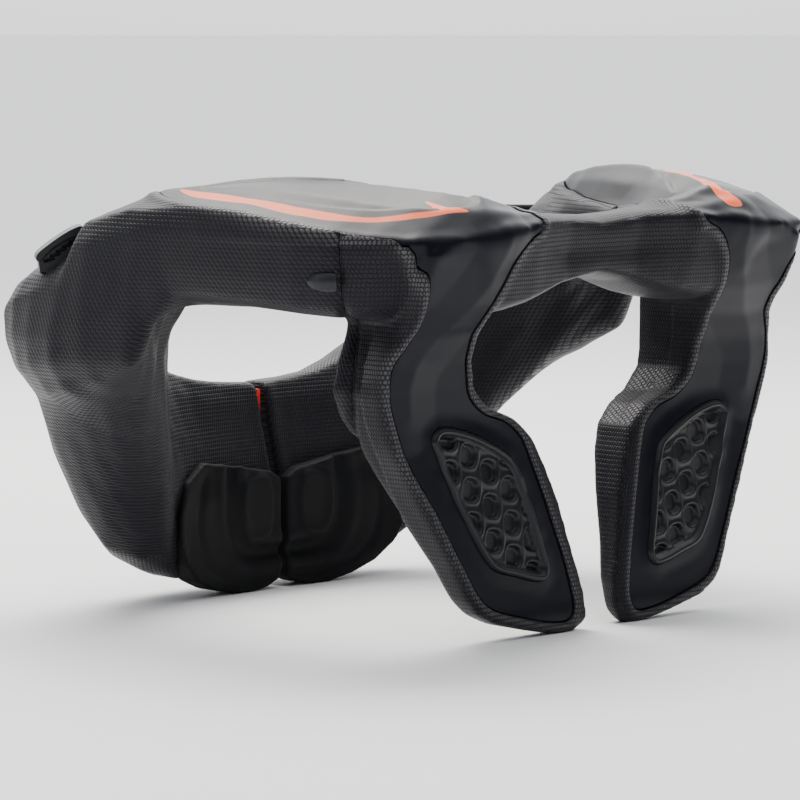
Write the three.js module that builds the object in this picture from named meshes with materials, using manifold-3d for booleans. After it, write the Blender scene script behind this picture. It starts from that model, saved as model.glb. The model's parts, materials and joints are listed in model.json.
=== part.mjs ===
// A padded neck brace for off-road riding, in millimetres, standing on its four feet.
// The wearer's left is +X, the wearer's back is +Y and up is +Z.
import * as THREE from 'three';
import { mergeVertices } from 'three/addons/utils/BufferGeometryUtils.js';
import Module from 'manifold-3d';

const wasm = await Module();
wasm.setup();

// Driving sizes. The tables below hold shares of the first two, in hundredths.
const collarRadius = 150;      // reach of the collar from the middle of the neck opening
const braceHeight = 172;       // floor to the crest of the collar
const shellThickness = 2.2;    // moulded plates and leg covers
const gap = 0.3;               // clearance where two pieces rest on each other
const rearSplit = 2.6;         // width of the slot between the two rear halves
const insertDepth = 4.5;       // rubber insert, behind the face of the leg cover
const insertProud = 0.9;       // how far its rim stands out of the cover
const rimWidth = 2.4;          // rim round the field of pockets
const pocketDepth = 2.6;       // pockets in the insert
const pocketPitch = 11.5;      // spacing of the pockets
const pocketWeb = 2.8;         // rubber left between two pockets
const backPadThickness = 9;    // fabric pad on each rear half
const channelDepth = 1.5;      // moulded channel in the back pad
const linkThickness = 2;       // red link that joins the rear halves
const linkDepth = 12;
const linkHeight = 15;
const claspLength = 18;        // ribbed clasp where the collar meets the wing
const claspWidth = 17;
const claspThickness = 13;
const claspRibs = 6;
const ribWidth = 1.4;
const claspAngle = 116;        // its place round the neck, how it is turned, and how far its nose dips
const claspTurn = 130;
const claspTilt = 6;
const tabLength = 17;          // smooth tab that shows behind the leg pad
const tabHeight = 8;
const tabThickness = 3;
const padCutAngle = 58;        // where the leg pad ends and the side pad begins

const share = { r: collarRadius / 100, z: braceHeight / 100 };
const rad = THREE.MathUtils.degToRad;

// The point at an angle round the neck and a distance from its middle
const aroundNeck = (angle, radius) => [radius * Math.sin(rad(angle)), -radius * Math.cos(rad(angle))];

// Sections of the collar, one row for each angle round the neck from the front (0) to the rear (180).
// After the angle come radius and height of each of these points, going once round the section:
// inner top, crest, outer top, outer middle, outer low, under outer, wall outer, foot outer,
// foot inner, inner low, inner middle, inner high
const collarSections = [
  [0, 44, 89, 56, 91, 64.5, 89, 63.5, 83.5, 63.5, 79.5, 60, 78, 56, 77.5, 50.5, 77.5, 45.5, 78, 41.5, 80, 39.5, 83, 40.5, 86.5],
  [12, 45, 89, 57.5, 91.5, 66.5, 90, 64.5, 83.5, 64.5, 78, 61.5, 76.5, 57.5, 76, 52, 76, 46.5, 76.5, 42.5, 78.5, 40, 82.5, 41.5, 87],
  [24, 48.5, 90, 64.5, 92.5, 77.5, 90.5, 75.5, 85, 72, 75, 67.5, 73, 62, 72.5, 56, 72.5, 50, 73.5, 45, 77.5, 42.5, 83, 44, 87],
  [36, 64, 91, 75.5, 96.5, 89.5, 88, 86.5, 82, 81.5, 74, 76, 71, 70, 70.5, 63.5, 70.5, 56.5, 71.5, 51.5, 74.5, 50, 81.5, 55.5, 88],
  [48, 58, 91.5, 72.5, 98.5, 101.5, 87.5, 98.5, 83, 92.5, 74, 87.5, 71, 79.5, 70.5, 70, 70.5, 61.5, 71, 54, 74, 51.5, 81, 52.5, 87],
  [60, 56, 91.5, 66.5, 99.5, 101.5, 89.5, 101.5, 82.5, 98.5, 74, 94, 71.5, 85.5, 71, 74.5, 70.5, 64, 70.5, 54.5, 73.5, 51.5, 81, 52, 88],
  [75, 54.5, 92, 65.5, 100, 96.5, 93, 97.5, 84.5, 95, 75.5, 91.5, 73.5, 84, 72.5, 73.5, 72, 62.5, 72, 54, 74.5, 51.5, 81.5, 51.5, 88],
  [88, 58.5, 92, 67, 99, 95, 93.5, 96.5, 85, 94.5, 76.5, 90.5, 74, 83.5, 72.5, 74.5, 72, 65.5, 72, 57.5, 74.5, 53.5, 82, 54, 88.5],
  [93, 62.5, 92.5, 69.5, 98, 95.5, 93, 97.5, 83.5, 95.5, 70, 92.5, 67.5, 89.5, 70, 87, 73, 71, 73.5, 59.5, 76, 54.5, 82, 56, 88],
  [96, 65, 92.5, 71, 97.5, 95.5, 93, 98, 82, 97, 61.5, 93, 59, 90, 62, 87.5, 72, 74, 74, 61, 76, 56, 82, 58, 88],
  [103, 71, 91.5, 78.5, 94, 97, 90.5, 101, 79.5, 101, 57, 95.5, 54, 88, 53.5, 80.5, 57, 79.5, 66, 72, 74, 60, 78.5, 61, 86.5],
  [106.5, 73.5, 90, 82, 92, 97.5, 89.5, 102, 78.5, 102.5, 56, 97, 52.5, 89, 51, 79, 52, 77, 60, 71.5, 70, 62.5, 77, 63, 85],
  [109, 75.5, 82.5, 86, 83, 98.5, 81.5, 103.5, 75, 104, 55, 98, 51, 90, 49, 78, 48, 75, 55, 71, 66, 64.5, 73.5, 66.5, 79],
  [115, 77, 79.5, 88.5, 80.5, 99.5, 80, 106, 73.5, 105, 54, 99, 49.5, 92.5, 45, 77, 40, 71, 44, 70, 58, 68, 69, 69, 75],
  [125, 78, 77.5, 89.5, 79, 100, 78.5, 109, 69, 106, 56, 100.5, 49.5, 96, 38.5, 82, 27.5, 67.5, 27.5, 66, 38, 66.5, 55, 70, 69],
  [135, 74, 62, 85, 66.5, 95, 67.5, 102.5, 60.5, 100.5, 53, 97, 47.5, 93.5, 32.5, 82.5, 13.5, 66, 11.5, 64, 21, 64.5, 35, 68, 50],
  [147, 70, 53.5, 77.5, 56, 84, 55, 88.5, 51, 89, 45, 88, 39.5, 86, 26, 79.5, 9.5, 65, 4.5, 58.5, 14.5, 59, 29, 64, 43],
  [160, 63, 49.5, 69, 49.5, 74.5, 48.5, 78, 45.5, 79, 39.5, 79, 34, 78, 22, 72.5, 7.5, 60, 3.5, 54.5, 14, 54.5, 26.5, 58.5, 39],
  [180, 58, 47.5, 63, 48, 67.5, 47.5, 71, 44, 71.5, 38, 71.5, 31.5, 70, 21, 66, 6.5, 57, 3.5, 52, 14, 52, 26.5, 55.5, 38.5],
];

// Levels of the front leg, from the floor up: height, inner and outer edge of the front face,
// how far forward that face lies, inner and outer edge of the rear face, how far forward it lies
const legLevels = [
  [0, 9.5, 16, 63, 10.5, 15.5, 59.5],
  [2.2, 6, 29.5, 63.5, 7.5, 29, 58.5],
  [4, 5.5, 39.5, 63.5, 7, 39, 57.5],
  [6.5, 5.5, 46, 63, 7.5, 45.5, 56.5],
  [10, 6, 49.5, 62.5, 8, 49, 55],
  [17, 8.5, 53, 61.5, 10, 53, 53],
  [29, 12, 61, 59.5, 13, 61, 48],
  [37, 15.5, 66, 58, 16.5, 66, 44.5],
  [43, 19, 70, 57, 20, 69.5, 42.5],
  [47, 26, 72, 56.5, 26, 72, 41],
  [50, 36, 73.5, 56.5, 34, 73.5, 39.5],
  [55, 41.5, 75, 57, 41.5, 74, 38],
  [61, 43.5, 74, 58, 43.5, 71, 37],
  [67, 43.5, 71.5, 60.5, 44, 67.5, 36.5],
  [74, 42, 71, 66, 43.5, 67, 37],
  [80, 39, 72, 69, 42, 68.5, 38],
  [85.5, 38, 71.5, 71, 41, 70, 40],
];

// Outline of the leg cover, as share of the collar's radius across and of the height, going
// down the outer edge from the horn, along the foot and up the inner edge
const coverOutline = [
  [77.5, 100], [77, 89.5], [76, 87], [73.5, 84.5], [71.5, 81.5], [69.5, 78.5], [68, 74.5],
  [67, 70.5], [67.5, 67.5], [69, 65], [72, 60.5], [72, 54.5], [69.5, 48], [65.5, 40], [58, 29.5], [50, 17], [45, 10],
  [41, 7.5], [31, 5], [19.5, 3], [13.5, 3], [11.5, 5], [12.5, 12], [16.5, 24], [21.5, 37], [24.5, 43],
  [29.5, 46.5], [38, 49], [43.5, 53], [45.5, 58.5], [46.5, 64.5], [46, 70], [44.5, 76],
  [42, 82], [37, 87], [32, 89.5], [30.5, 94], [31, 100],
];

// Outline of the top plate in plan: across, and forward (minus) or back, as shares of the radius
const plateOutline = [
  [41, -84], [39.5, -72.5], [33, -70], [31, -67], [33.5, -60], [39, -48], [45, -35], [49.5, -23],
  [53, -13.5], [59, -3.5], [65, 5], [70, 10],
  [77, 16], [82, 12.5], [88, 3.5], [91.5, -9], [91.5, -24], [89.5, -40], [85.5, -52], [80.5, -60.5],
  [78, -63.5], [77, -66], [77, -84],
];

// Outline of the rubber insert on the face of the leg: across and height, as shares
const insertOutline = [
  [57.3, 44.5], [54.5, 46.8], [45, 45.8], [33.5, 41.7], [28.5, 38.8], [26.3, 35.5], [24, 29.5], [21, 20],
  [19.6, 14.5], [21.5, 12.1], [33.5, 14], [39.5, 15.6], [43, 18.5], [51, 30.8], [56, 41],
];

// Outline of the fabric pad on each rear half, seen from the front: across and height, as shares
const backPadOutline = [
  [1.2, 2.5], [6, 0.8], [11, 0], [18, 0], [27, 1.6], [34, 4], [40, 8.5], [43.5, 14], [44, 21],
  [40, 27.5], [31, 31.5], [19, 30], [5, 28], [1.2, 26],
];

// Outline of the channel moulded in that pad, round the outer and lower side of its raised square
const channelOutline = [
  [18.5, 32], [22.5, 32], [24, 19], [21.5, 11.5], [16.5, 7.5], [-4, 7], [-4, 10.5], [14.5, 11],
  [18, 13.5], [19.5, 20],
];

// How far the face of the back pad lies behind the middle of the neck, by distance across
const backPadFace = [[0, 49], [20, 49], [30, 48.3], [38, 46.3], [44, 43.5]];

// Two rings of faces from a list of loops, closed at both ends
function loftGeometry(loops) {
  const count = loops[0].length;
  const positions = [];
  const quad = (a, b, c, d) => positions.push(...a, ...b, ...c, ...a, ...c, ...d);
  for (let i = 0; i + 1 < loops.length; i += 1) {
    for (let j = 0; j < count; j += 1) {
      const next = (j + 1) % count;
      quad(loops[i][j], loops[i][next], loops[i + 1][next], loops[i + 1][j]);
    }
  }
  const cap = (loop, flip) => {
    const middle = [0, 1, 2].map((k) => loop.reduce((sum, p) => sum + p[k], 0) / count);
    for (let j = 0; j < count; j += 1) {
      const a = loop[j];
      const b = loop[(j + 1) % count];
      positions.push(...middle, ...(flip ? a : b), ...(flip ? b : a));
    }
  };
  cap(loops[0], false);
  cap(loops[loops.length - 1], true);
  return new THREE.BufferGeometry().setAttribute('position', new THREE.Float32BufferAttribute(positions, 3));
}

function signedVolume(geometry) {
  const p = geometry.attributes.position;
  const a = new THREE.Vector3();
  const b = new THREE.Vector3();
  const c = new THREE.Vector3();
  let sum = 0;
  for (let i = 0; i < p.count; i += 3) {
    a.fromBufferAttribute(p, i);
    b.fromBufferAttribute(p, i + 1);
    c.fromBufferAttribute(p, i + 2);
    sum += a.dot(b.cross(c));
  }
  return sum;
}

// A closed geometry as a solid for joining and cutting, turned outside out where needed
function solidOf(geometry) {
  const loose = geometry.index ? geometry.toNonIndexed() : geometry;
  const bare = new THREE.BufferGeometry().setAttribute('position', loose.attributes.position.clone());
  const flip = signedVolume(bare) < 0;
  const merged = mergeVertices(bare, 1e-4);
  const triangles = Uint32Array.from(merged.index.array);
  if (flip) {
    for (let i = 0; i < triangles.length; i += 3) {
      [triangles[i], triangles[i + 1]] = [triangles[i + 1], triangles[i]];
    }
  }
  const vertices = Float32Array.from(merged.attributes.position.array);
  return new wasm.Manifold(new wasm.Mesh({ numProp: 3, vertProperties: vertices, triVerts: triangles }));
}

function geometryOf(solid) {
  const mesh = solid.getMesh();
  const geometry = new THREE.BufferGeometry();
  geometry.setAttribute('position', new THREE.Float32BufferAttribute(mesh.vertProperties, 3));
  geometry.setIndex(Array.from(mesh.triVerts));
  return geometry;
}

// A value between the rows of a table, on a smooth curve through them
function smooth(rows, at, column) {
  let i = 0;
  while (i + 2 < rows.length && rows[i + 1][0] < at) i += 1;
  const low = rows[i];
  const high = rows[i + 1];
  const before = rows[Math.max(i - 1, 0)];
  const after = rows[Math.min(i + 2, rows.length - 1)];
  const span = high[0] - low[0];
  const t = (at - low[0]) / span;
  const slope = (a, b) => (b[0] === a[0] ? 0 : (b[column] - a[column]) / (b[0] - a[0]));
  const steepest = 3 * Math.abs(slope(low, high));
  const limit = (value) => THREE.MathUtils.clamp(value, -steepest, steepest);
  const start = limit(slope(before, high)) * span;
  const end = limit(slope(low, after)) * span;
  const rise = high[column] - low[column];
  return low[column] + start * t + (3 * rise - 2 * start - end) * t * t + (start + end - 2 * rise) * t * t * t;
}

// A rounded closed loop through flat points, with extra points between them
function roundedLoop(points, extra) {
  const curve = new THREE.CatmullRomCurve3(points.map(([a, b]) => new THREE.Vector3(a, b, 0)), true, 'centripetal');
  return curve.getPoints(points.length * extra).slice(0, -1).map((p) => [p.x, p.y]);
}

// Moves a flat loop outwards, or inwards where the distance is negative
function offsetLoop(points, distance) {
  const count = points.length;
  const area = points.reduce((sum, p, i) => {
    const q = points[(i + 1) % count];
    return sum + p[0] * q[1] - q[0] * p[1];
  }, 0);
  const side = Math.sign(area);
  return points.map((p, i) => {
    const before = points[(i + count - 1) % count];
    const after = points[(i + 1) % count];
    const one = new THREE.Vector2(p[1] - before[1], before[0] - p[0]).normalize();
    const two = new THREE.Vector2(after[1] - p[1], p[0] - after[0]).normalize();
    const normal = one.add(two).normalize();
    return [p[0] + side * normal.x * distance, p[1] + side * normal.y * distance];
  });
}

// The angles of the table's rows and some between them, from one angle to another
function collarAngles(from, to) {
  const stops = [from, ...collarSections.map((row) => row[0]).filter((a) => a > from + 1 && a < to - 1), to];
  const angles = [from];
  for (let i = 1; i < stops.length; i += 1) {
    const steps = Math.ceil((stops[i] - stops[i - 1]) / 7);
    for (let k = 1; k <= steps; k += 1) {
      angles.push(stops[i - 1] + ((stops[i] - stops[i - 1]) * k) / steps);
    }
  }
  return angles;
}

// The collar between two angles on the wearer's left, its sections grown by a distance
function collarLoops(from, to, grow) {
  const loops = [];
  for (const angle of collarAngles(from, to)) {
    const points = [];
    for (let column = 1; column < collarSections[0].length; column += 2) {
      const radius = smooth(collarSections, Math.abs(angle), column) * share.r;
      const height = smooth(collarSections, Math.abs(angle), column + 1) * share.z;
      points.push([radius, height]);
    }
    const section = offsetLoop(roundedLoop(points, 2), grow);
    loops.push(section.map(([radius, height]) => [...aroundNeck(angle, radius), height]));
  }
  return loops;
}

// The front leg on the wearer's left, grown by separate distances to the sides, front and rear
function legLoops(sides, front, rear, ends) {
  const rows = legLevels;
  return rows.map((row, i) => {
    const end = i === 0 ? -ends : i === rows.length - 1 ? ends : 0;
    const z = row[0] * share.z + end;
    const [xi, xo, yf, ri, ro, yr] = row.slice(1).map((value) => value * share.r);
    const corners = [
      [xi - sides, -yf - front], [xo + sides, -yf - front],
      [ro + sides, -yr + rear], [ri - sides, -yr + rear],
    ];
    return roundedCorners(corners).map(([x, y]) => [x, y, z]);
  });
}

// Cuts the corners of a four-sided loop with short arcs
function roundedCorners(corners) {
  const loop = [];
  corners.forEach((corner, i) => {
    const before = corners[(i + 3) % 4];
    const after = corners[(i + 1) % 4];
    const reach = i < 2 ? 0.08 : 0.22;
    for (const t of [0, 0.5, 1]) {
      const toward = t < 0.5 ? before : after;
      const k = t === 0.5 ? 0.3 * reach : reach;
      const pull = t === 0.5 ? [(before[0] + after[0]) / 2, (before[1] + after[1]) / 2] : toward;
      loop.push([corner[0] + (pull[0] - corner[0]) * k, corner[1] + (pull[1] - corner[1]) * k]);
    }
  });
  return loop;
}

// How far back the face of the leg lies at a height
const faceY = (z) => -smooth(legLevels, THREE.MathUtils.clamp(z / share.z, 0, 85.5), 3) * share.r;

// A flat outline carried from one depth to another, in the direction that a mapping gives
function prism(loop, from, to, place) {
  const clockwise = THREE.ShapeUtils.isClockWise(loop.map(([a, b]) => new THREE.Vector2(a, b)));
  const outline = clockwise ? [...loop].reverse() : loop;
  const flat = outline.map(([a, b]) => new THREE.Vector2(a, b));
  const faces = THREE.ShapeUtils.triangulateShape(flat, []);
  const near = outline.map((p) => place(p, from));
  const far = outline.map((p) => place(p, to));
  const positions = [];
  for (const [a, b, c] of faces) {
    positions.push(...near[a], ...near[b], ...near[c], ...far[c], ...far[b], ...far[a]);
  }
  outline.forEach((_, i) => {
    const j = (i + 1) % outline.length;
    positions.push(...near[j], ...near[i], ...far[i], ...near[j], ...far[i], ...far[j]);
  });
  return new THREE.BufferGeometry().setAttribute('position', new THREE.Float32BufferAttribute(positions, 3));
}

const scaleOutline = (outline, a, b) => outline.map(([p, q]) => [p * a, q * b]);
const onFace = ([x, z], depth) => [x, faceY(z) + depth, z];
const acrossFace = ([x, z], y) => [x, y, z];
const inPlan = ([x, y], z) => [x, y, z];

const coverLoop = scaleOutline(coverOutline, share.r, share.z);
const plateLoop = scaleOutline(plateOutline, share.r, share.r);
const insertLoop = scaleOutline(insertOutline, share.r, share.z);

const farOut = 4 * collarRadius;

// Everything in front of the angle at which the leg pad ends, for the wearer's left
function wedge(from, to) {
  const outline = [[0, 0], ...[from, (from + to) / 2, to].map((angle) => aroundNeck(angle, farOut))];
  return solidOf(prism(outline, -farOut, farOut, inPlan));
}

const padFaceY = (x) => smooth(backPadFace, Math.min(x / share.r, 44), 1) * share.r;

// The rubber insert: a rim round a sunk field of six-sided pockets
function insertSolid() {
  const body = solidOf(prism(insertLoop, -insertProud, insertDepth, onFace));
  const field = offsetLoop(insertLoop, -rimWidth);
  const sunk = solidOf(prism(field, -9, 0, onFace));
  const first = [44.8 * share.r, 33.2 * share.z];
  const along = [-0.88 * pocketPitch, -0.6 * pocketPitch];
  const down = [0.06 * pocketPitch, -1.1 * pocketPitch];
  const reach = (pocketPitch - pocketWeb) / Math.sqrt(3);
  let pockets = null;
  for (let i = -3; i <= 4; i += 1) {
    for (let j = -3; j <= 4; j += 1) {
      const x = first[0] + i * along[0] + j * down[0];
      const z = first[1] + i * along[1] + j * down[1];
      if (clearance(field, x, z) < -0.25 * pocketPitch) continue;
      const corners = [10, 70, 130, 190, 250, 310].map((a) => [
        x + reach * Math.cos(rad(a)), z + reach * Math.sin(rad(a)),
      ]);
      const pocket = solidOf(prism(corners, -9, pocketDepth, onFace));
      pockets = pockets ? pockets.add(pocket) : pocket;
    }
  }
  const inner = solidOf(prism(offsetLoop(field, -1.2), -10, 2 * pocketDepth, onFace));
  return body.subtract(sunk).subtract(pockets.intersect(inner));
}

// How far a point lies inside a loop, and below zero outside it
function clearance(loop, x, z) {
  let inside = false;
  let nearest = Infinity;
  loop.forEach(([ax, az], i) => {
    const [bx, bz] = loop[(i + 1) % loop.length];
    if (az > z !== bz > z && x < ((bx - ax) * (z - az)) / (bz - az) + ax) inside = !inside;
    const length = Math.hypot(bx - ax, bz - az);
    const t = THREE.MathUtils.clamp(((x - ax) * (bx - ax) + (z - az) * (bz - az)) / length ** 2, 0, 1);
    nearest = Math.min(nearest, Math.hypot(x - ax - t * (bx - ax), z - az - t * (bz - az)));
  });
  return inside ? nearest : -nearest;
}

// The ribbed clasp on top of the wing, just behind the end of the top plate
function claspSolid(grow = 0) {
  const outline = [
    [-0.5, 0], [0.5, 0], [0.5, 0.85], [0.4, 1], [0.1, 0.85], [-0.42, 0.45], [-0.5, 0.35],
  ].map(([a, b]) => [a * claspLength, b * claspThickness]);
  const grown = grow ? offsetLoop(outline, grow) : outline;
  const half = claspWidth / 2 + grow;
  let body = solidOf(prism(grown, -half, half, ([a, b], w) => [a, w, b]));
  if (!grow) {
    for (let i = 0; i < claspRibs; i += 1) {
      const at = (i - (claspRibs - 1) / 2) * 2 * ribWidth;
      const slot = new THREE.BoxGeometry(ribWidth, 2 * ribWidth, 0.5 * claspThickness);
      slot.rotateY(rad(20)).translate(at, half, (0.5 + 0.5 * at / claspLength) * claspThickness);
      body = body.subtract(solidOf(slot));
    }
  }
  const [x, y] = aroundNeck(claspAngle, 0.97 * collarRadius);
  const place = new THREE.Matrix4().makeTranslation(x, y, 0.79 * braceHeight);
  const turn = new THREE.Matrix4().makeRotationZ(rad(claspTurn + 90));
  const tilt = new THREE.Matrix4().makeRotationY(rad(-claspTilt));
  const geometry = geometryOf(body).applyMatrix4(place.multiply(turn).multiply(tilt));
  return solidOf(geometry);
}

// The smooth tab that shows on the band behind the leg pad
function tabSolid() {
  const ball = new THREE.SphereGeometry(1, 16, 8);
  ball.scale(tabLength / 2, tabThickness, tabHeight / 2);
  const angle = padCutAngle + 1.5;
  const [x, y] = aroundNeck(angle, 1.005 * collarRadius);
  return solidOf(ball.rotateZ(rad(angle)).translate(x, y, 0.793 * braceHeight));
}

function leftHalf() {
  const collar = (from, to, grow) => solidOf(loftGeometry(collarLoops(from, to, grow)));
  const leg = (sides, front, rear, ends) => solidOf(loftGeometry(legLoops(sides, front, rear, ends)));
  const envelope = collar(-12, 180, 0).add(leg(0, 0, 0, 0));
  const inner = (depth) => collar(-12, 180, -depth).add(leg(1, -depth, 0, 0));
  const covered = (grow) => {
    const face = prism(offsetLoop(coverLoop, grow), -collarRadius, -0.5 * collarRadius, acrossFace);
    const plan = prism(offsetLoop(plateLoop, grow), 0.87 * braceHeight - grow, 2 * braceHeight, inPlan);
    return solidOf(face).add(solidOf(plan));
  };
  const window = (grow, front, back) => solidOf(prism(offsetLoop(insertLoop, grow), -front, back, onFace));

  const shell = envelope.subtract(inner(shellThickness)).intersect(covered(0)).subtract(window(gap, 9, 9));
  const recess = covered(gap).subtract(inner(shellThickness + gap).intersect(inner(shellThickness)));
  const bed = window(gap, 9, insertDepth + gap);

  const rightSide = solidOf(new THREE.BoxGeometry(farOut, 2 * farOut, 2 * farOut).translate(-farOut / 2 + rearSplit / 2, 0, 0));
  const front = collar(-12, padCutAngle + 12, 0).intersect(wedge(-12, padCutAngle)).add(leg(0, 0, 0, 0));
  const frontPad = front.subtract(recess).subtract(bed);
  const side = collar(padCutAngle - 12, 180, 0).intersect(wedge(padCutAngle + gap / 2, 200))
    .subtract(leg(gap, gap, gap, gap)).subtract(recess).subtract(rightSide);
  const grownSide = collar(padCutAngle, 180, gap);

  const onPad = ([x, z], depth) => [x, padFaceY(x) + depth, z];
  const padBlock = solidOf(prism(scaleOutline(backPadOutline, share.r, share.z), 0, backPadThickness, onPad));
  const channel = solidOf(prism(scaleOutline(channelOutline, share.r, share.z), -5, channelDepth, onPad));
  const backPad = padBlock.subtract(channel).subtract(grownSide);

  const tab = tabSolid().subtract(grownSide).intersect(wedge(padCutAngle + gap, 90));
  const sidePad = side.subtract(claspSolid(gap));
  return { shell, frontPad, sidePad, insert: insertSolid(), backPad, clasp: claspSolid(), tab };
}

// The same piece for the wearer's other side
function mirrored(geometry) {
  const copy = geometry.clone();
  copy.scale(-1, 1, 1);
  const index = Array.from(copy.index.array);
  for (let i = 0; i < index.length; i += 3) {
    [index[i], index[i + 1]] = [index[i + 1], index[i]];
  }
  return copy.setIndex(index);
}

function linkGeometry() {
  const box = new THREE.BoxGeometry(linkThickness, linkDepth, linkHeight);
  return box.translate(0, 0.56 * collarRadius + linkDepth / 2, 0.465 * braceHeight - linkHeight / 2);
}

const half = leftHalf();
const group = new THREE.Group();

function addPiece(name, geometry, material) {
  const mesh = new THREE.Mesh(geometry, material);
  mesh.name = name;
  group.add(mesh);
}

function addPair(name, solid, material) {
  const geometry = geometryOf(solid);
  addPiece(`${name}_left`, geometry, material);
  addPiece(`${name}_right`, mirrored(geometry), material);
}

const textile = new THREE.MeshStandardMaterial({ color: 0x3a3a42, roughness: 0.85, metalness: 0 });
const polymer = new THREE.MeshStandardMaterial({ color: 0x23262e, roughness: 0.45, metalness: 0 });
const rubber = new THREE.MeshStandardMaterial({ color: 0x26282e, roughness: 0.6, metalness: 0 });
const fleece = new THREE.MeshStandardMaterial({ color: 0x090b10, roughness: 0.95, metalness: 0 });
const plastic = new THREE.MeshStandardMaterial({ color: 0x24262e, roughness: 0.4, metalness: 0 });
const red = new THREE.MeshStandardMaterial({ color: 0xa01408, roughness: 0.6, metalness: 0 });

addPair('side_pad', half.sidePad, textile);
const frontLeft = geometryOf(half.frontPad);
addPiece('front_pad', geometryOf(half.frontPad.add(solidOf(mirrored(frontLeft)))), textile);
addPair('shell', half.shell, polymer);
addPair('vent_insert', half.insert, rubber);
addPair('back_pad', half.backPad, fleece);
addPair('clasp', half.clasp, plastic);
addPair('side_tab', half.tab, plastic);
addPiece('rear_link', linkGeometry(), red);

const box = new THREE.Box3().setFromObject(group);
group.position.y = -(box.min.y + box.max.y) / 2;

export default group;
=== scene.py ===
"""A padded neck brace for off-road riding: the looks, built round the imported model.

The wearer's left is +X, the wearer's back is +Y and up is +Z. Lengths in the tables and in the
shaping functions are in millimetres round the middle of the neck opening. Lengths in the materials,
the lights and the camera are in metres.
"""
import json
import math

import bmesh
import bpy
import numpy as np
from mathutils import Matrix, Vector
from mathutils.geometry import delaunay_2d_cdt


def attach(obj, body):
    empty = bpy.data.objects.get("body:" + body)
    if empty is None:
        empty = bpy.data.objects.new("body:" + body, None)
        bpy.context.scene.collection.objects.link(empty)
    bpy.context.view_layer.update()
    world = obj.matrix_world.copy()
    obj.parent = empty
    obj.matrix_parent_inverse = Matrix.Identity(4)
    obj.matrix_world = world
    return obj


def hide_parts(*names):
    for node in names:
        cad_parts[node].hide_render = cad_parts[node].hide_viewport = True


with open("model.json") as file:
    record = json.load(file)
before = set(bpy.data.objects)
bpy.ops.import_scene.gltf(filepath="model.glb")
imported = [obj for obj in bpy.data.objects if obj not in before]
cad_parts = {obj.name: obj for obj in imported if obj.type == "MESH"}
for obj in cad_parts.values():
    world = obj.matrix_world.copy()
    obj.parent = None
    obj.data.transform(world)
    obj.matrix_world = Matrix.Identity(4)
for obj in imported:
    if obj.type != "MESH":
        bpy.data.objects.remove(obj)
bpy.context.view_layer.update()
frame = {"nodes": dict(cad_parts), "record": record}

# Driving sizes
COLLAR_RADIUS = 150.0
BRACE_HEIGHT = 172.0
NECK_Y = 1000 * next(m for m in frame["record"]["mounts"] if m["name"] == "neck")["pos_m"][1]
SHELL_THICKNESS = 2.0
SHELL_GAP = 0.25
REAR_SPLIT = 2.6
PAD_CUT_ANGLE = 58.0
INSERT_DEPTH = 4.0
RIM_WIDTH = 2.6
RIM_HEIGHT = 1.3
POCKET_DEPTH = 2.0
POCKET_PITCH = 11.5
POCKET_WEB = 2.8
CUSHION_BACKING = 2.6
PLATE_FLOOR = 0.87 * BRACE_HEIGHT
LEG_BACK = -0.5 * COLLAR_RADIUS
LINK_FRONT = 0.592 * COLLAR_RADIUS

# Room round the covers and inserts in the textile
RECESS_MARGIN = 0.75
WINDOW_MARGIN = 0.35
BED_MARGIN = 0.4
BED_GAP = 0.4
SEAM_GAP_ANGLE = 0.1

# Far enough out for a cutting block to pass the whole form
FAR = 4 * COLLAR_RADIUS
WELL_IN_FRONT = -1.2 * COLLAR_RADIUS
WELL_ABOVE = 1.3 * BRACE_HEIGHT
WINDOW_FRONT = -12.0
WINDOW_BACK = 20
PAST_BACK_ANGLE = 181
OTHER_HALF_LOW = (-90, -250, -90)
OTHER_HALF_HIGH = (REAR_SPLIT / 2, 250, 290)

# Size of the remeshed faces and rounds of smoothing of each soft form
BODY_MESH = (1.15, 70)
CUSHION_MESH = (0.85, 30)
CLASP_MESH = (0.25, 5)
TAB_MESH = (0.4, 8)
# One round of smoothing is a step inwards and a slightly longer one back out
SMOOTHING_STEPS = (0.6, -0.61)

# Outline of the leg cover: across as share of the radius, and height as share of the height
COVER_OUTLINE = [
    (77.5, 104), (77, 89.5), (76, 87), (73.5, 84.5), (71.5, 81.5), (69.5, 78.5), (68, 74.5),
    (67, 70.5), (67.5, 67.5), (69, 65), (72, 60.5), (72, 54.5), (69.5, 48), (65.5, 40),
    (58, 29.5), (50, 17), (45, 10), (41, 7.5), (31, 5), (19.5, 3), (13.5, 3), (11.5, 5),
    (12.5, 12), (16.5, 24), (21.5, 37), (24.5, 43), (29.5, 46.5), (38, 49), (43.5, 53),
    (45.5, 58.5), (46.5, 64.5), (46, 70), (44.5, 76), (42, 82), (37, 87), (32, 89.5),
    (30.5, 94), (31, 104),
]
# Outline of the top plate in plan: across, and forward (minus) or back, as shares of the radius
PLATE_OUTLINE = [
    (41, -84), (39.5, -72.5), (33, -70), (31, -67), (33.5, -60), (39, -48), (45, -35),
    (49.5, -23), (53, -13.5), (59, -3.5), (65, 5), (70, 10), (77, 16), (82, 12.5), (88, 3.5),
    (91.5, -9), (91.5, -24), (89.5, -40), (85.5, -52), (80.5, -60.5), (78, -63.5), (77, -66),
    (77, -84),
]
# Outline of the rubber insert: across and height, as shares
INSERT_OUTLINE = [
    (57.3, 44.5), (54.5, 46.8), (45, 45.8), (33.5, 41.7), (28.5, 38.8), (26.3, 35.5), (24, 29.5),
    (21, 20), (19.6, 14.5), (21.5, 12.1), (33.5, 14), (39.5, 15.6), (43, 18.5), (51, 30.8), (56, 41),
]
# The plugs that fill the insert's place in the form: margin round it, and depths behind the face
PLUG_MARGIN = 2.0
PLUG_FRONT = 0.35
PLUG_BACK = 6.0
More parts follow.
